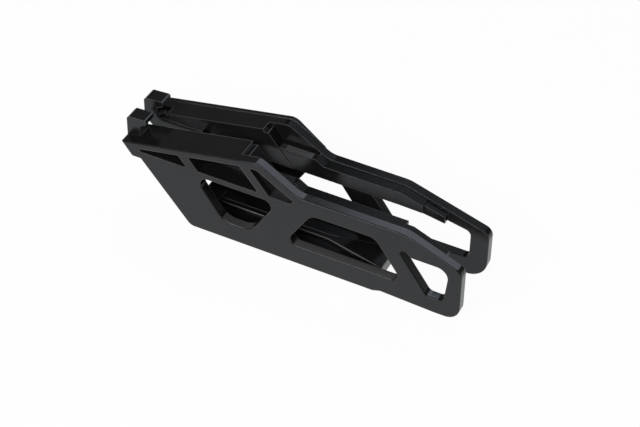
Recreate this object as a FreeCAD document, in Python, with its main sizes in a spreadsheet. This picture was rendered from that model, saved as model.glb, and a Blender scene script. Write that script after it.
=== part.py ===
import FreeCAD, Part
import math
import os
import re
import Sketcher

# Motorcycle chain guide, moulded in one piece.
# X runs from the nose to the tail, Y from the near side to the far side, Z up.
# The guide stands on the edges of its two side walls at Z = 0, centred in X and Y.
# Heights are measured from that plane, and runs along X.

SIZES = {
    # Overall
    "overall_length": 224.0,
    "overall_width": 48.7,
    "side_wall": 6.2,
    "far_cheek": 2.7,
    "cheek_lean": 8.0,
    "cheek_end_run": 22.0,
    "cheek_runout": 19.0,
    # Side wall outline, from the nose round to the heel
    "nose_height": 49.0,
    "chin_drop": 9.0,
    "chin_setback": 6.8,
    "chin_run": 6.0,
    "heel_setback": 45.8,
    "crest_run": 92.3,
    "crest_height": 67.8,
    "ramp_run": 26.7,
    "back_height": 52.0,
    "near_tail_run": 35.8,
    "far_tail_run": 54.0,
    "near_tail_height": 37.7,
    "far_tail_height": 35.6,
    "sole_setback": 55.4,
    "sole_relief_height": 1.6,
    "sole_relief_rise": 5.0,
    "toe_run": 16.0,
    "heel_radius": 6.0,
    "crest_radius": 8.0,
    "saddle_radius": 12.0,
    "bend_radius": 20.0,
    "tail_top_radius": 6.0,
    "near_toe_radius": 9.0,
    "far_toe_radius": 13.0,
    # Front blocks, one each side of the slot for the swingarm lug
    "near_block": 20.0,
    "far_block": 13.7,
    "block_run": 82.6,
    "rake": 0.80,
    "end_step": 2.3,
    "end_run": 3.2,
    # Claws at the front of the blocks
    "claw_width": 9.5,
    "near_claw_inset": 7.5,
    "far_claw_inset": 9.0,
    "claw_height": 14.0,
    "claw_bevel": 1.4,
    "claw_post": 9.0,
    "claw_reach": 13.2,
    "claw_rise": 0.8,
    "claw_lip": 3.4,
    "claw_throat": 5.0,
    "claw_lip_radius": 1.2,
    "arm_run": 40.0,
    "arm_drop": 0.3,
    # Chain rails under the top edges
    "rail_width": 7.1,
    "rail_step": 0.7,
    "rail_depth": 9.3,
    "rail_front_step": 0.36,
    "rail_front_run": 5.0,
    "groove_width": 1.9,
    "groove_depth": 4.0,
    "rail_end_setback": 4.2,
    "tail_rail_width": 5.0,
    "tail_rail_step": 1.6,
    "near_tail_rail_setback": 13.0,
    "far_tail_rail_setback": 26.4,
    "tail_rim": 6.2,
    # Chain floor between the side walls
    "floor_setback": 7.4,
    "floor_thickness": 6.0,
    "floor_rib_height": 1.5,
    "floor_rib_width": 4.0,
    "floor_fan_run": 40.0,
    "floor_fan_width": 21.0,
    # Blind pockets in the flanks of the blocks
    "pocket_rim": 4.0,
    "ramp_rim": 5.5,
    "pocket_sill_drop": 3.4,
    "pocket_start_height": 1.8,
    "pocket_front": 1.4,
    "first_rib_run": 39.2,
    "second_rib_run": 80.5,
    "rib_run": 6.4,
    "end_rib_run": 7.0,
    "ramp_pocket_setback": 2.5,
    "near_pocket_depth": 13.0,
    "far_pocket_depth": 7.0,
    "ramp_pocket_depth": 4.4,
    "pocket_radius": 1.0,
    # Windows through the side walls
    "pocket_bar": 4.2,
    "back_bar": 10.6,
    "window_rake": 0.70,
    "window_lean": 0.62,
    "front_window_run": 49.4,
    "front_window_length": 55.7,
    "front_window_sill": 13.2,
    "front_window_radius": 5.0,
    "front_window_foot_radius": 12.0,
    "far_front_window_shift": 27.0,
    "main_window_gap": 8.8,
    "near_strut": 14.7,
    "main_window_sill": 14.0,
    "main_window_radius": 4.5,
    "main_window_top_radius": 8.0,
    "tail_window_setback": 40.5,
    "tail_window_drop": 1.7,
    "tail_window_notch": 3.0,
    "tail_window_notch_width": 5.0,
    "tail_window_bar": 8.0,
    "tail_window_sill": 11.0,
    "tail_window_taper": 2.5,
    "tail_window_radius": 7.0,
    "tail_window_foot_radius": 4.0,
    "tail_window_notch_radius": 1.5,
    "far_window_gap": 11.5,
    "far_strut": 20.6,
    "far_strut_place": 0.39,
    "far_window_sill": 12.0,
    "far_tail_bar": 11.7,
    "far_window_radius": 4.0,
    # Softened edges of the outer faces
    "edge_radius": 0.9,
}

# Places worked out from the sizes
PLACES = {
    "nose_x": "-overall_length / 2",
    "tail_x": "overall_length / 2",
    "crest_x": "nose_x + crest_run",
    "saddle_x": "crest_x + ramp_run",
    "near_bend_x": "tail_x - near_tail_run",
    "far_bend_x": "tail_x - far_tail_run",
    "heel_x": "nose_x + heel_setback",
    "sole_x": "tail_x - sole_setback",
    "floor_x": "heel_x + floor_setback",
    "chin_height": "nose_height - chin_drop",
    "brow": "(crest_height - nose_height) / crest_run",
    "ramp": "(back_height - crest_height) / ramp_run",
    "near_fall": "(near_tail_height - back_height) / (tail_x - near_bend_x)",
    "far_fall": "(far_tail_height - back_height) / (tail_x - far_bend_x)",
    "block_x": "nose_x + block_run",
    "block_top": "nose_height + brow * block_run - end_step",
    "rail_x": "near_bend_x - rail_end_setback",
    "rail_top": "back_height - rail_step",
    "rail_base": "rail_top - rail_depth",
    "rail_front_x": "saddle_x - rail_front_run",
    "rail_front_height": "back_height - ramp * rail_front_run - rail_front_step",
    "near_tail_rail_x": "tail_x - near_tail_rail_setback",
    "far_tail_rail_x": "tail_x - far_tail_rail_setback",
    "claw_top": "nose_height + claw_height",
    "near_face": "-overall_width / 2",
    "near_inner": "near_face + side_wall",
    "cheek_face": "overall_width / 2",
    "far_face": "cheek_face - far_cheek",
    "far_inner": "far_face - side_wall",
    "pocket_sill": "nose_height - pocket_sill_drop",
    "pocket_start": "(pocket_start_height + pocket_rim - pocket_sill_drop) / brow",
    "first_rib_x": "nose_x + first_rib_run",
    "second_rib_x": "nose_x + second_rib_run",
    "front_window_top": "pocket_sill - pocket_bar",
    "window_top": "back_height - back_bar",
    "front_window_x": "nose_x + front_window_run",
    "main_window_x": "saddle_x + main_window_gap",
    "tail_window_x": "tail_x - tail_window_setback",
    "tail_window_top": "near_tail_height - tail_window_drop",
    "far_window_x": "saddle_x - far_window_gap",
    "far_strut_x": "far_window_x + far_strut_place * (far_bend_x - far_window_x - far_strut)",
}


def formula(text):
    """Spell a formula out in the cells of the sheet."""
    def cell(word):
        name = word[0]
        return f"sizes.{name}" if name in SIZES else f"({formula(PLACES[name])})"
    return re.sub(r"[a-z_]+", cell, text)


doc = FreeCAD.newDocument("chain_guide")
sheet = doc.addObject("Spreadsheet::Sheet", "sizes")
for row, (name, number) in enumerate(SIZES.items(), 1):
    sheet.set(f"A{row}", name)
    sheet.set(f"B{row}", str(number))
    sheet.setAlias(f"B{row}", name)
doc.recompute()

body = doc.addObject("PartDesign::Body", "chain_guide")
body.Label = "chain_guide"
body.Placement = FreeCAD.Placement()


def outline(name, corners, level, plane="XZ_Plane"):
    """A closed sketch of straight sides, each corner bound to its two formulas."""
    return outlines(name, [corners], level, plane)


def outlines(name, loops, level, plane="XZ_Plane"):
    """A sketch of one or more closed loops of straight sides."""
    sketch = body.newObject("Sketcher::SketchObject", name)
    support = next(item for item in body.Origin.OriginFeatures if item.Role == plane)
    sketch.AttachmentSupport = [(support, "")]
    sketch.MapMode = "FlatFace"
    side = "-1" if plane == "XZ_Plane" else "1"
    sketch.setExpression("AttachmentOffset.Base.z", f"{side} * ({formula(level)})")
    for corners in loops:
        first = sketch.GeometryCount
        count = len(corners)
        turns = [2 * math.pi * index / count for index in range(count)]
        guess = [FreeCAD.Vector(math.cos(turn), math.sin(turn), 0) for turn in turns]
        for index in range(count):
            sketch.addGeometry(Part.LineSegment(guess[index], guess[(index + 1) % count]))
        for index in range(count):
            follower = first + (index + 1) % count
            sketch.addConstraint(Sketcher.Constraint("Coincident", first + index, 2, follower, 1))
        for index, corner in enumerate(corners, first):
            for axis, start, text in zip("XY", guess[index - first], corner):
                place = Sketcher.Constraint(f"Distance{axis}", -1, 1, index, 1, start)
                label = f"corner_{index}_{axis.lower()}"
                sketch.renameConstraint(sketch.addConstraint(place), label)
                sketch.setExpression(f"Constraints.{label}", formula(text))
    return sketch


def raise_from(name, sketch, length):
    """Add material from a sketch, towards the near side or upwards."""
    feature = body.newObject("PartDesign::Pad", name)
    feature.Profile = sketch
    feature.setExpression("Length", formula(length))
    doc.recompute()


def cut_from(name, sketch, depth):
    """Take material away from a sketch, towards the far side."""
    before = body.Shape.Volume
    feature = body.newObject("PartDesign::Pocket", name)
    feature.Profile = sketch
    feature.setExpression("Length", formula(depth))
    doc.recompute()
    if body.Shape.Volume >= before:
        raise RuntimeError(f"{name} cuts nothing")


def round_corners(name, sketch, corners, radius):
    """Round the edges that stand on the given corners of a sketch."""
    base = body.Tip
    marks = [sketch.Placement.multVec(sketch.Geometry[index].StartPoint) for index in corners]
    picks = []
    for number, edge in enumerate(base.Shape.Edges, 1):
        ends = [vertex.Point for vertex in edge.Vertexes]
        for mark in marks:
            starts_here = any(end.distanceToPoint(mark) < 1e-4 for end in ends)
            across = all(math.hypot(end.x - mark.x, end.z - mark.z) < 1e-4 for end in ends)
            if len(ends) == 2 and starts_here and across:
                picks.append(f"Edge{number}")
    if len(picks) != len(corners):
        raise RuntimeError(f"{name} finds {len(picks)} of {len(corners)} edges")
    feature = body.newObject("PartDesign::Fillet", name)
    feature.Base = (base, picks)
    feature.setExpression("Radius", formula(radius))
    doc.recompute()


def side_wall(side, level):
    """One side wall: nose, crest, ramp, straight back, falling tail and sole."""
    corners = [
        ("nose_x", "nose_height"),
        ("crest_x", "crest_height"),
        ("saddle_x", "back_height"),
        (f"{side}_bend_x", "back_height"),
        ("tail_x", f"{side}_tail_height"),
        ("tail_x", "0"),
        ("tail_x - toe_run", "0"),
        ("sole_x + sole_relief_rise", "sole_relief_height"),
        ("sole_x", "0"),
        ("heel_x", "0"),
        ("nose_x + chin_setback + chin_run", "chin_height"),
        ("nose_x + chin_setback", "chin_height"),
    ]
    sketch = outline(f"{side}_wall_outline", corners, level)
    raise_from(f"{side}_wall", sketch, "side_wall")
    for name, corner, radius in (
        ("crest", 1, "crest_radius"),
        ("saddle", 2, "saddle_radius"),
        ("bend", 3, "bend_radius"),
        ("tail_top", 4, "tail_top_radius"),
        ("toe", 5, f"{side}_toe_radius"),
        ("heel", 9, "heel_radius"),
    ):
        round_corners(f"{side}_{name}_round", sketch, [corner], radius)


def chain_floor():
    """The floor that joins the two walls."""
    corners = [
        ("floor_x", "near_inner"),
        ("sole_x", "near_inner"),
        ("sole_x", "far_inner"),
        ("floor_x", "far_inner"),
    ]
    raise_from("floor", outline("floor_outline", corners, "0", "XY_Plane"), "floor_thickness")


def floor_rib():
    """The raised rib along the middle of the floor, which fans out towards the tail."""
    fan = "sole_x - floor_fan_run"
    middle = "(near_inner + far_inner) / 2"
    thin = "floor_rib_width / 2"
    wide = "floor_fan_width / 2"
    corners = [
        ("floor_x", f"{middle} - {thin}"),
        (fan, f"{middle} - {thin}"),
        ("sole_x", f"{middle} - {wide}"),
        ("sole_x", f"{middle} + {wide}"),
        (fan, f"{middle} + {thin}"),
        ("floor_x", f"{middle} + {thin}"),
    ]
    sketch = outline("floor_rib_outline", corners, "floor_thickness", "XY_Plane")
    raise_from("floor_rib", sketch, "floor_rib_height")


def block(side, level, width, seat):
    """A front block: the seat of its claw, the brow, then a stepped and raked end."""
    step_x = "block_x - end_run"
    step_top = "nose_height + brow * (block_run - end_run)"
    corners = [
        *seat,
        (step_x, step_top),
        (step_x, f"{step_top} - end_step"),
        ("block_x", "block_top"),
        ("block_x + rake * (block_top - rail_base)", "rail_base"),
        ("nose_x + chin_setback", "rail_base"),
    ]
    sketch = outline(f"{side}_block_outline", corners, level)
    raise_from(f"{side}_block", sketch, f"{width} - side_wall")


def cheek():
    """The proud band of the far wall's outer face, which runs out along the ramp."""
    end_x = "crest_x + cheek_end_run"
    corners = [
        ("nose_x", "nose_height"),
        ("crest_x", "crest_height"),
        (end_x, "crest_height - (crest_height - back_height) / ramp_run * cheek_end_run"),
        (f"{end_x} - cheek_lean", "front_window_top"),
        ("nose_x + chin_setback", "front_window_top"),
    ]
    sketch = outline("far_cheek_outline", corners, "cheek_face")
    raise_from("far_cheek", sketch, "far_cheek")
    round_corners("far_cheek_round", sketch, [1], "crest_radius")
    start_x = f"{end_x} - cheek_runout"
    taper = [(start_x, "cheek_face"), (end_x, "far_face"), (end_x, "cheek_face")]
    runout = outline("far_cheek_taper_outline", taper, "crest_height", "XY_Plane")
    cut_from("far_cheek_taper", runout, "crest_height")


def rail_groove(side, level):
    """The narrow groove that parts the raised front of a rail from its wall."""
    front = "block_x + rake * (block_top - "
    corners = [
        (f"{front} rail_front_height)", "rail_front_height"),
        ("rail_front_x", "rail_front_height"),
        ("rail_front_x", "rail_top - groove_depth"),
        (f"{front} (rail_top - groove_depth))", "rail_top - groove_depth"),
    ]
    sketch = outline(f"{side}_rail_groove_outline", corners, level)
    cut_from(f"{side}_rail_groove", sketch, "groove_width")


def rail(side, level, end):
    """A chain rail on the inside of a wall: a raised front, then level with the back."""
    front = "block_x + rake * (block_top - "
    corners = [
        (f"{front} rail_front_height)", "rail_front_height"),
        ("rail_front_x", "rail_front_height"),
        ("saddle_x", "rail_top"),
        (end, "rail_top"),
        (end, "rail_base"),
        (f"{front} rail_base)", "rail_base"),
    ]
    raise_from(f"{side}_rail", outline(f"{side}_rail_outline", corners, level), "rail_width")


def rail_end():
    """The end of the far rail, which follows the falling edge up to the rail's step."""
    corners = [
        ("far_bend_x", "rail_top"),
        ("rail_x", "rail_top + far_fall * (rail_x - far_bend_x)"),
        ("rail_x", "back_height - tail_rim + far_fall * (rail_x - far_bend_x)"),
        ("far_bend_x", "rail_base"),
    ]
    raise_from("far_rail_end", outline("far_rail_end_outline", corners, "far_inner"), "rail_width")


def tail_rail(side, level):
    """The slimmer rail that follows the falling edge of the tail."""
    bend = f"{side}_bend_x"
    end = f"{side}_tail_rail_x"
    drop = f"{side}_fall * ({end} - {bend})"
    corners = [
        (bend, "back_height - tail_rail_step"),
        (end, f"back_height - tail_rail_step + {drop}"),
        (end, f"back_height - tail_rim + {drop}"),
        (bend, "rail_base"),
    ]
    sketch = outline(f"{side}_tail_rail_outline", corners, level)
    raise_from(f"{side}_tail_rail", sketch, "tail_rail_width")


def rail_bridge():
    """The slim rail of the near side, between the step and the bend."""
    corners = [
        ("rail_x", "back_height - tail_rail_step"),
        ("near_bend_x", "back_height - tail_rail_step"),
        ("near_bend_x", "rail_base"),
        ("rail_x", "rail_base"),
    ]
    sketch = outline("near_rail_bridge_outline", corners, "near_inner + tail_rail_width")
    raise_from("near_rail_bridge", sketch, "tail_rail_width")


def claw(side, level):
    """A claw on the nose: a post whose lip reaches back over its throat."""
    post = "nose_x + claw_post"
    reach = "nose_x + claw_reach"
    corners = [
        ("nose_x", "nose_height"),
        ("nose_x", "claw_top - claw_bevel"),
        ("nose_x + claw_bevel", "claw_top"),
        (reach, "claw_top + claw_rise"),
        (reach, "claw_top + claw_rise - claw_lip"),
        (post, "claw_top - claw_throat"),
        (post, "nose_height"),
    ]
    sketch = outline(f"{side}_claw_outline", corners, level)
    raise_from(f"{side}_claw", sketch, "claw_width")
    round_corners(f"{side}_claw_round", sketch, [3, 4], "claw_lip_radius")


def claw_arm():
    """The arm that carries the far claw along the slot side of the far block."""
    shoulder = "nose_height + brow * claw_reach"
    corners = [
        ("nose_x", "nose_height"),
        ("nose_x + claw_reach", shoulder),
        ("nose_x + arm_run", f"{shoulder} - arm_drop"),
        ("nose_x + arm_run", "rail_base"),
        ("nose_x + chin_setback", "rail_base"),
    ]
    sketch = outline("claw_arm_outline", corners, "far_face - far_block")
    raise_from("claw_arm", sketch, "far_claw_inset + claw_width - far_block")


def pocket(name, loops, level, depth):
    """A blind pocket in an outer face, or a pair of them, with rounded corners."""
    sketch = outlines(f"{name}_outline", loops, level)
    cut_from(name, sketch, depth)
    round_corners(f"{name}_round", sketch, range(sketch.GeometryCount), "pocket_radius")


def block_pockets(side, level):
    """Two blind pockets in the outer side of a block, parted by a raked rib."""
    sill = "pocket_sill"
    brow_rim = "nose_height - pocket_rim + brow * "
    first_top = f"{brow_rim} first_rib_run"
    second_start = "first_rib_run + rib_run"
    second_top = f"{brow_rim} ({second_start})"
    second_end = f"{brow_rim} second_rib_run"
    first = [
        ("nose_x + pocket_start", f"{brow_rim} pocket_start"),
        ("first_rib_x", first_top),
        (f"first_rib_x + rake * ({first_top} - {sill})", sill),
        ("nose_x + pocket_start + pocket_front", sill),
    ]
    second = [
        (f"nose_x + {second_start}", second_top),
        ("second_rib_x", second_end),
        (f"second_rib_x + rake * ({second_end} - {sill})", sill),
        (f"nose_x + {second_start} + rake * ({second_top} - {sill})", sill),
    ]
    pocket(f"{side}_block_pockets", [first, second], level, f"{side}_pocket_depth")


def ramp_pocket():
    """The blind pocket under the near ramp, behind the second rib."""
    sill = "pocket_sill"
    tip = "saddle_x - ramp_pocket_setback"
    crown = "crest_height - ramp_rim"
    second_end = "nose_height - pocket_rim + brow * second_rib_run"
    root = f"second_rib_x + end_rib_run + rake * ({second_end} - "
    corners = [
        (f"{root} ({crown}))", crown),
        ("crest_x", crown),
        (tip, f"{crown} + ramp * (ramp_run - ramp_pocket_setback)"),
        (f"{tip} - ramp_pocket_setback", sill),
        (f"{root} {sill})", sill),
    ]
    pocket("near_ramp_pocket", [corners], "near_face", "ramp_pocket_depth")


def window(name, corners, level, rounds):
    """A window through one wall, with its corners rounded in groups."""
    sketch = outline(f"{name}_outline", corners, level)
    cut_from(name, sketch, "side_wall")
    for group, (picked, radius) in enumerate(rounds, 1):
        round_corners(f"{name}_round_{group}", sketch, picked, radius)


def front_window(side, level, start):
    """A window under the block, which narrows to a rounded foot."""
    height = "(front_window_top - front_window_sill)"
    end = f"{start} + front_window_length"
    corners = [
        (start, "front_window_top"),
        (end, "front_window_top"),
        (f"{end} - window_lean * {height}", "front_window_sill"),
        (f"{start} + window_rake * {height}", "front_window_sill"),
    ]
    rounds = [([0, 1], "front_window_radius"), ([2, 3], "front_window_foot_radius")]
    window(f"{side}_front_window", corners, level, rounds)


def back_window(name, start, end, sill, level, rounds):
    """A window under the back edge, wider at its sill than at its top."""
    corners = [
        (start, "window_top"),
        (end, "window_top"),
        (f"{end} + window_rake * (window_top - {sill})", sill),
        (f"{start} - window_lean * (window_top - {sill})", sill),
    ]
    window(name, corners, level, rounds)


def tail_window():
    """The drop-shaped window of the near tail, with a notch at its raked corner."""
    notch_top = "(tail_window_top + tail_window_notch)"
    notch_x = "tail_window_x + tail_window_notch_width"
    bar = "tail_x - tail_window_bar"
    corners = [
        ("tail_window_x", notch_top),
        (notch_x, notch_top),
        (f"{notch_x} + tail_window_notch", "tail_window_top"),
        (bar, "tail_window_top"),
        (f"{bar} - tail_window_taper", "tail_window_sill"),
        (f"tail_window_x + window_rake * ({notch_top} - tail_window_sill)", "tail_window_sill"),
    ]
    rounds = [
        ([0, 1], "tail_window_notch_radius"),
        ([3], "tail_window_radius"),
        ([4, 5], "tail_window_foot_radius"),
    ]
    window("tail_window", corners, "near_face", rounds)


def far_tail_window():
    """The window of the far tail, whose upper side follows the falling edge."""
    start = "far_strut_x + far_strut"
    bar = "tail_x - far_tail_bar"
    corners = [
        (start, "window_top"),
        ("far_bend_x", "window_top"),
        (bar, f"back_height - tail_rim + far_fall * ({bar} - far_bend_x)"),
        (bar, "far_window_sill"),
        (f"{start} + window_rake * (window_top - far_window_sill)", "far_window_sill"),
    ]
    window("far_tail_window", corners, "far_inner", [([0, 2, 3, 4], "far_window_radius")])


def soften_outer_edges():
    """Round the rims of the outer faces."""
    near = -SIZES["overall_width"] / 2
    far = SIZES["overall_width"] / 2 - SIZES["far_cheek"]
    base = body.Tip
    picks = []
    for number, edge in enumerate(base.Shape.Edges, 1):
        box = edge.BoundBox
        for face in (near, far):
            if max(abs(box.YMin - face), abs(box.YMax - face)) < 1e-4:
                picks.append(f"Edge{number}")
    feature = body.newObject("PartDesign::Fillet", "outer_edge_round")
    feature.Base = (base, picks)
    feature.setExpression("Radius", formula("edge_radius"))
    doc.recompute()


def build():
    """All features of the guide, in the order they carry each other."""
    side_wall("near", "near_inner")
    chain_floor()
    side_wall("far", "far_face")
    floor_rib()
    near_seat = [("nose_x", "nose_height")]
    block("near", "near_face + near_block", "near_block", near_seat)
    step_x = "nose_x + claw_reach"
    far_seat = [*near_seat, (step_x, "nose_height"), (step_x, "nose_height + brow * claw_reach")]
    block("far", "far_inner", "far_block", far_seat)
    claw_arm()
    claw("near", "near_face + near_claw_inset + claw_width")
    claw("far", "far_face - far_claw_inset")
    rail("near", "near_inner + rail_width", "rail_x")
    rail_groove("near", "near_inner")
    rail_bridge()
    rail("far", "far_inner", "far_bend_x")
    rail_groove("far", "far_inner - groove_width")
    rail_end()
    tail_rail("near", "near_inner + tail_rail_width")
    tail_rail("far", "far_inner")
    front_window("near", "near_face", "front_window_x")
    front_window("far", "far_inner", "front_window_x - far_front_window_shift")
    near_rounds = [([0, 1], "main_window_top_radius"), ([2, 3], "main_window_radius")]
    strut_x = "tail_window_x - near_strut"
    back_window("main_window", "main_window_x", strut_x, "main_window_sill", "near_face", near_rounds)
    far_rounds = [([0, 1, 2, 3], "far_window_radius")]
    back_window("far_window", "far_window_x", "far_strut_x", "far_window_sill", "far_inner", far_rounds)
    tail_window()
    far_tail_window()
    soften_outer_edges()
    cheek()
    block_pockets("near", "near_face")
    ramp_pocket()
    block_pockets("far", "cheek_face - far_pocket_depth")


build()
for item in doc.Objects:
    if {"Invalid", "Error"} & set(item.State):
        raise RuntimeError(f"{item.Name} has failed")
if body.Shape.isNull() or not body.Shape.isValid() or len(body.Shape.Solids) != 1:
    raise RuntimeError("the guide isn't one valid solid")

os.makedirs("parts", exist_ok=True)
body.Shape.exportStep(f"parts/{body.Label}.step")
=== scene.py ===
import math
import bpy
from mathutils import Matrix, Vector


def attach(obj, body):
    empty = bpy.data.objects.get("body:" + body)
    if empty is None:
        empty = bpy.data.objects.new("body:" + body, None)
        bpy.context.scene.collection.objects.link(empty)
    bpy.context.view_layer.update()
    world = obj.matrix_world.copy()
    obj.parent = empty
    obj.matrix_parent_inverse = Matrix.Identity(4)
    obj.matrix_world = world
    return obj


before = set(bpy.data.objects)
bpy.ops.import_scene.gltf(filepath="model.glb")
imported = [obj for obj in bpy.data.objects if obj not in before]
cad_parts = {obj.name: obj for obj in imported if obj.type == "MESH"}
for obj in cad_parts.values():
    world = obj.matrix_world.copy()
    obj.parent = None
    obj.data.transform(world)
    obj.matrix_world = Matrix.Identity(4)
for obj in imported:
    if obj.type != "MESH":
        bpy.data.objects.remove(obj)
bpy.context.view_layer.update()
scene = bpy.context.scene
scene.view_settings.view_transform = "Standard"

# Camera, at the angle the guide is seen from
AZIMUTH = math.radians(26.402)
ELEVATION = math.radians(41.89)
ROLL = math.radians(0.898)
DISTANCE = 1.157021
PAN = (0.013028, -0.008719)
AIM = Vector((0.007, -0.02435, 0.052))
LENS = 112.5
SENSOR = 36.0

# Levels in metres that bound the tops given painted shade, a darker colour and weaker reflection:
# the far wall, the rails and the floor inside
FAR_TOP = {"X": (-0.0230, 0.115), "Y": (0.0153, 0.030)}
RAIL_TOP = {"X": (-0.0005, 0.115), "Y": (-0.0180, 0.0153)}
FLOOR_TOP = {"Y": (-0.0180, 0.0153), "Z": (-0.001, 0.0415)}

# How far up a face has to look to be a top
UPWARD = {"Z": (0.80, 1.1)}

# Levels in metres of the faces given painted light, a paler grey: the sills of the near windows,
# the far rail's front shelf
NEAR_SILL = {"X": (-0.060, 0.085), "Y": (-0.030, -0.0180), "Z": (0.003, 0.030)}
SHELF = {"X": (-0.0185, -0.0008), "Y": (0.0072, 0.0153), "Z": (0.053, 0.056)}
PAINTED_LIGHT_GREY = 0.052

# Painted highlights: pale rims along the outer edges, and brighter ones on the rib on the floor
RIM_HIGHLIGHT_GREY = 0.042
RIB_HIGHLIGHT_GREY = 0.16
RIB = {"X": (-0.0555, 0.100), "Y": (-0.0180, 0.0015), "Z": (0.0055, 0.012)}
RIM_REACH = 0.0008

# Radius of the softened edges in metres, and the samples taken to find an edge
EDGE_RADIUS = 0.0006
EDGE_SAMPLES = 8

# Colour sockets of a mix node: its two inputs and its output
MIX_FIRST = 6
MIX_SECOND = 7
MIX_RESULT = 2

# Front lip of the floor: its slanted profile along X and Z, and its two sides along Y
LIP_PROFILE = (
    (-0.0586, 0.0), (-0.0586, 0.006), (-0.0712, 0.006), (-0.0668, 0.0006), (-0.0655, 0.0),
)
LIP_SIDES = (-0.0182, 0.0155)

# The white sheet: half its side, its level under the guide, and how much of it shows as plain white
SHEET_REACH = 6.0
SHEET_LEVEL = -0.0002
SHEET_WHITE = 0.96

# What the lamps look at
LAMP_AIM = Vector((0.0, 0.0, 0.04))


def nodes_of(material):
    """The material's node tree, emptied, and a helper that adds nodes to it."""
    material.use_nodes = True
    tree = material.node_tree
    tree.nodes.clear()

    def add(kind, **settings):
        node = tree.nodes.new(kind)
        for name, value in settings.items():
            setattr(node, name, value)
        return node

    return tree, add


def set_inputs(node, **values):
    """Set plain values on a node's sockets, by name."""
    for name, value in values.items():
        node.inputs[name.replace("_", " ")].default_value = value


def ramp_stops(node, *stops):
    """Place the stops of a colour ramp: (position, grey)."""
    elements = node.color_ramp.elements
    while len(elements) < len(stops):
        elements.new(1.0)
    for element, (place, grey) in zip(elements, stops):
        element.position = place
        element.color = (grey, grey, grey, 1.0)


def join(tree, operation, first, second):
    """A maths node over an output and a second output or a level."""
    node = tree.nodes.new("ShaderNodeMath")
    node.operation = operation
    tree.links.new(first, node.inputs[0])
    if isinstance(second, float):
        node.inputs[1].default_value = second
    else:
        tree.links.new(second, node.inputs[1])
    return node.outputs[0]


def blend(tree, factor, first, second):
    """A mix of a colour output and a second output or a plain grey."""
    node = tree.nodes.new("ShaderNodeMix")
    node.data_type = "RGBA"
    tree.links.new(factor, node.inputs["Factor"])
    tree.links.new(first, node.inputs[MIX_FIRST])
    if isinstance(second, float):
        node.inputs[MIX_SECOND].default_value = (second, second, second, 1.0)
    else:
        tree.links.new(second, node.inputs[MIX_SECOND])
    return node.outputs[MIX_RESULT]


def zone(tree, vector, levels):
    """One where a vector lies between the levels of each axis, else zero."""
    split = tree.nodes.new("ShaderNodeSeparateXYZ")
    tree.links.new(vector, split.inputs[0])
    tests = []
    for axis, (low, high) in levels.items():
        tests.append(join(tree, "GREATER_THAN", split.outputs[axis], low))
        tests.append(join(tree, "LESS_THAN", split.outputs[axis], high))
    inside = tests[0]
    for test in tests[1:]:
        inside = join(tree, "MULTIPLY", inside, test)
    return inside


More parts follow.
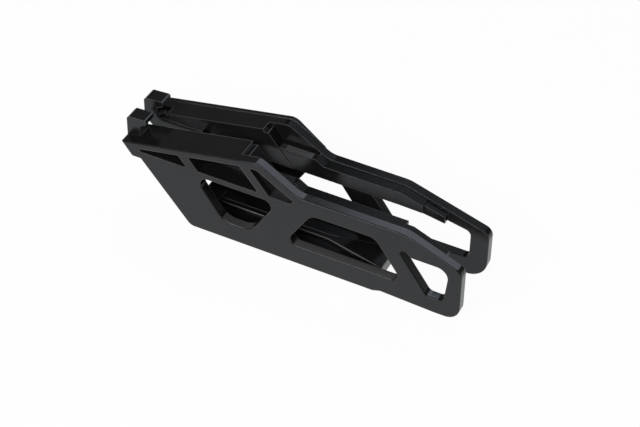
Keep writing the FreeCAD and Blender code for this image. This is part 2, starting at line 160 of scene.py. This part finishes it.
def polymer():
    """Black moulded polymer: fine grain, painted shade on the tops along the chain run, painted
    highlights on the rims, painted light on the sills.
    """
    material = bpy.data.materials.new("black_polymer")
    tree, add = nodes_of(material)
    link = tree.links.new
    place = add("ShaderNodeTexCoord").outputs["Object"]
    output = add("ShaderNodeOutputMaterial")
    surface = add("ShaderNodeBsdfPrincipled")
    link(surface.outputs["BSDF"], output.inputs["Surface"])

    clouds = add("ShaderNodeTexNoise")
    set_inputs(clouds, Scale=38.0, Detail=4.0, Roughness=0.6)
    link(place, clouds.inputs["Vector"])
    satin = add("ShaderNodeValToRGB")
    ramp_stops(satin, (0.32, 0.0060), (0.70, 0.0100))
    link(clouds.outputs["Fac"], satin.inputs["Fac"])
    # Painted shade: a darker colour ramp for the upward tops of the far wall, the rails and the
    # floor inside
    painted_shade_ramp = add("ShaderNodeValToRGB")
    ramp_stops(painted_shade_ramp, (0.32, 0.0035), (0.70, 0.0055))
    link(clouds.outputs["Fac"], painted_shade_ramp.inputs["Fac"])
    edge = add("ShaderNodeBevel", samples=EDGE_SAMPLES)
    set_inputs(edge, Radius=EDGE_RADIUS)
    tops = zone(tree, place, FAR_TOP)
    for levels in (RAIL_TOP, FLOOR_TOP):
        tops = join(tree, "MAXIMUM", tops, zone(tree, place, levels))
    upward = zone(tree, edge.outputs["Normal"], UPWARD)
    painted_shade = join(tree, "MULTIPLY", tops, upward)
    # Painted light: the upward faces of the near sills and the far shelf get a paler grey
    sills = join(tree, "MAXIMUM", zone(tree, place, NEAR_SILL), zone(tree, place, SHELF))
    painted_light = join(tree, "MULTIPLY", sills, upward)
    # Painted highlights: an inside occlusion test finds the outer edges, which get a pale grey rim
    thin = add("ShaderNodeAmbientOcclusion", inside=True, only_local=True, samples=EDGE_SAMPLES)
    set_inputs(thin, Distance=RIM_REACH)
    rim_highlight = add("ShaderNodeValToRGB")
    ramp_stops(rim_highlight, (0.62, 1.0), (0.92, 0.0))
    link(thin.outputs["AO"], rim_highlight.inputs["Fac"])
    colour = blend(tree, painted_shade, satin.outputs["Color"], painted_shade_ramp.outputs["Color"])
    colour = blend(tree, painted_light, colour, PAINTED_LIGHT_GREY)
    colour = blend(tree, rim_highlight.outputs["Color"], colour, RIM_HIGHLIGHT_GREY)
    # Painted highlights: the rims of the rib on the floor get a brighter grey
    rib = join(tree, "MULTIPLY", zone(tree, place, RIB), rim_highlight.outputs["Color"])
    colour = blend(tree, rib, colour, RIB_HIGHLIGHT_GREY)
    link(colour, surface.inputs["Base Color"])

    scuffs = add("ShaderNodeTexNoise")
    set_inputs(scuffs, Scale=240.0, Detail=5.0, Roughness=0.65)
    link(place, scuffs.inputs["Vector"])
    rough = add("ShaderNodeValToRGB")
    ramp_stops(rough, (0.30, 0.13), (0.72, 0.22))
    link(scuffs.outputs["Fac"], rough.inputs["Fac"])
    link(rough.outputs["Color"], surface.inputs["Roughness"])
    # The tops under painted shade also get weaker reflection
    gloss = add("ShaderNodeValToRGB")
    ramp_stops(gloss, (0.0, 0.40), (1.0, 0.06))
    link(painted_shade, gloss.inputs["Fac"])
    link(gloss.outputs["Color"], surface.inputs["Specular IOR Level"])

    grain = add("ShaderNodeTexNoise")
    set_inputs(grain, Scale=2600.0, Detail=2.0, Roughness=0.5)
    link(place, grain.inputs["Vector"])
    bump = add("ShaderNodeBump")
    set_inputs(bump, Strength=0.05, Distance=0.00004)
    link(grain.outputs["Fac"], bump.inputs["Height"])
    link(edge.outputs["Normal"], bump.inputs["Normal"])
    link(bump.outputs["Normal"], surface.inputs["Normal"])
    surface.inputs["IOR"].default_value = 1.46
    surface.inputs["Specular Tint"].default_value = (0.90, 0.94, 1.0, 1.0)
    return material


def floor_lip(material):
    """The front lip of the floor between the two walls, cut off along their slanted fronts."""
    mesh = bpy.data.meshes.new("floor_lip")
    count = len(LIP_PROFILE)
    corners = [(x, y, z) for y in LIP_SIDES for x, z in LIP_PROFILE]
    walls = [(i, (i + 1) % count, count + (i + 1) % count, count + i) for i in range(count)]
    ends = [tuple(range(count - 1, -1, -1)), tuple(range(count, 2 * count))]
    mesh.from_pydata(corners, [], walls + ends)
    mesh.materials.append(material)
    piece = bpy.data.objects.new("floor_lip", mesh)
    scene.collection.objects.link(piece)
    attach(piece, "root")


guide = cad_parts["chain_guide"]
finish = polymer()
guide.data.materials.clear()
guide.data.materials.append(finish)
floor_lip(finish)


def white_floor():
    """A white sheet under the guide: plain white to the eye, with the guide's soft shadow."""
    mesh = bpy.data.meshes.new("floor")
    signs = ((-1, -1), (1, -1), (1, 1), (-1, 1))
    corners = [(SHEET_REACH * x, SHEET_REACH * y, 0.0) for x, y in signs]
    mesh.from_pydata(corners, [], [(0, 1, 2, 3)])
    floor = bpy.data.objects.new("floor", mesh)
    floor.location.z = SHEET_LEVEL
    scene.collection.objects.link(floor)
    material = bpy.data.materials.new("white_floor")
    tree, add = nodes_of(material)
    link = tree.links.new
    output = add("ShaderNodeOutputMaterial")
    sheet = add("ShaderNodeBsdfDiffuse")
    sheet.inputs["Color"].default_value = (0.92, 0.92, 0.92, 1.0)
    glow = add("ShaderNodeEmission")
    set_inputs(glow, Strength=1.0)
    glow.inputs["Color"].default_value = (1.0, 1.0, 1.0, 1.0)
    rays = add("ShaderNodeLightPath").outputs
    seen = join(tree, "MAXIMUM", rays["Is Camera Ray"], rays["Is Glossy Ray"])
    shown = join(tree, "MAXIMUM", seen, rays["Is Transmission Ray"])
    share = join(tree, "MULTIPLY", shown, SHEET_WHITE)
    mix = add("ShaderNodeMixShader")
    link(share, mix.inputs["Fac"])
    link(sheet.outputs["BSDF"], mix.inputs[1])
    link(glow.outputs["Emission"], mix.inputs[2])
    link(mix.outputs["Shader"], output.inputs["Surface"])
    mesh.materials.append(material)


white_floor()


def soft_lamp(name, direction, distance, size, power, colour):
    """A soft rectangular lamp that looks at the guide."""
    data = bpy.data.lights.new(name, "AREA")
    data.shape = "RECTANGLE"
    data.size, data.size_y = size
    data.energy = power
    data.color = colour
    lamp = bpy.data.objects.new(name, data)
    towards = Vector(direction).normalized()
    lamp.location = LAMP_AIM + towards * distance
    lamp.rotation_euler = towards.to_track_quat("Z", "Y").to_euler()
    scene.collection.objects.link(lamp)


soft_lamp("key_lamp", (0.12, 0.68, 0.68), 1.6, (1.45, 0.6), 7.0, (0.86, 0.93, 1.0))
soft_lamp("front_lamp", (-0.12, -0.77, 0.62), 1.8, (2.0, 0.5), 32.0, (1.0, 0.99, 0.98))

world = bpy.data.worlds.new("studio")
scene.world = world
world.use_nodes = True
backdrop = world.node_tree.nodes["Background"]
backdrop.inputs["Color"].default_value = (0.13, 0.13, 0.136, 1.0)
backdrop.inputs["Strength"].default_value = 1.0


def photo_camera():
    """The camera at the fitted angle, without any blur."""
    back = Vector((
        math.sin(AZIMUTH) * math.cos(ELEVATION),
        -math.cos(AZIMUTH) * math.cos(ELEVATION),
        math.sin(ELEVATION),
    ))
    right = Vector((math.cos(AZIMUTH), math.sin(AZIMUTH), 0.0))
    up = back.cross(right)
    side = right * math.cos(ROLL) + up * math.sin(ROLL)
    top = up * math.cos(ROLL) - right * math.sin(ROLL)
    data = bpy.data.cameras.new("camera")
    data.lens = LENS
    data.sensor_width = SENSOR
    data.sensor_fit = "HORIZONTAL"
    data.clip_start = 0.01
    camera = bpy.data.objects.new("camera", data)
    turn = Matrix((side, top, back)).transposed()
    place = AIM + side * PAN[0] + top * PAN[1] + back * DISTANCE
    camera.matrix_world = Matrix.Translation(place) @ turn.to_4x4()
    scene.collection.objects.link(camera)
    scene.camera = camera


photo_camera()
